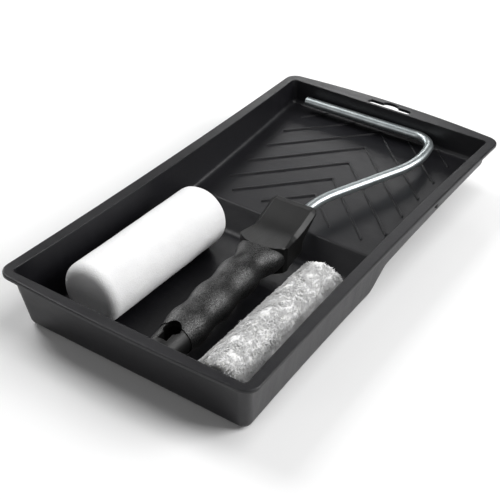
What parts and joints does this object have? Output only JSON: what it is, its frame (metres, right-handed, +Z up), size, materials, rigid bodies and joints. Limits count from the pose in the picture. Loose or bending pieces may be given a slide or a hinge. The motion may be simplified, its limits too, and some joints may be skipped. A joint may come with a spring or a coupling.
{
  "type": "paint roller tray set",
  "caption": "Mini paint roller tray with a deep well, ribbed ramp and hang slot, holding a wire roller frame with a black grip, a foam sleeve and a pile sleeve.",
  "frame": {"origin": "on the floor, under the middle of the whole set's outline", "axes": "+Z up, +Y from the deep well at the front to the hang slot at the rear, +X to the right seen from the front"},
  "size_m": [0.1526, 0.2894, 0.0381],
  "materials": {
    "tray_black": "moulded polypropylene, satin",
    "handle_black": "fine matt moulded plastic",
    "grip_black": "spark-eroded texture",
    "zinc_steel": "bright zinc plated",
    "foam_white": "fine-cell foam",
    "pile_white": "short woven pile",
    "core_plastic": "natural polypropylene",
    "bush_grey": "acetal, satin",
    "spring_steel": "spring steel"
  },
  "bodies": {
    "tray_body": {"tray": "tray_black"},
    "roller_frame": {"handle_core": "handle_black", "handle_grip": "grip_black", "frame_rod": "zinc_steel"},
    "foam_hub": {"foam_axle_bush": "bush_grey", "foam_spring_ring": "spring_steel"},
    "foam_roller": {"foam_cover": "foam_white", "foam_core_tube": "core_plastic", "foam_end_plug": "core_plastic", "foam_end_insert": "core_plastic"},
    "pile_hub": {"pile_axle_bush": "bush_grey", "pile_spring_ring": "spring_steel"},
    "pile_roller": {"pile_cover": "pile_white", "pile_core_tube": "core_plastic", "pile_end_plug": "core_plastic", "pile_end_insert": "core_plastic"}
  },
  "joints": [
    {"name": "frame_lift", "type": "slide", "parent": "tray_body", "child": "roller_frame", "axis": [0, 0, 1], "range_m": [0, 0.06]},
    {"name": "foam_lift", "type": "slide", "parent": "tray_body", "child": "foam_hub", "axis": [0, 0, 1], "range_m": [0, 0.06]},
    {"name": "foam_spin", "type": "hinge", "parent": "foam_hub", "child": "foam_roller", "pos_m": [-0.0396, -0.0665, 0.0201], "axis": [0.014, 0.9999, 0], "continuous": true},
    {"name": "pile_lift", "type": "slide", "parent": "tray_body", "child": "pile_hub", "axis": [0, 0, 1], "range_m": [0, 0.06]},
    {"name": "pile_spin", "type": "hinge", "parent": "pile_hub", "child": "pile_roller", "pos_m": [0.04965, -0.0804, 0.0176], "axis": [0.007, 1, 0], "continuous": true}
  ]
}
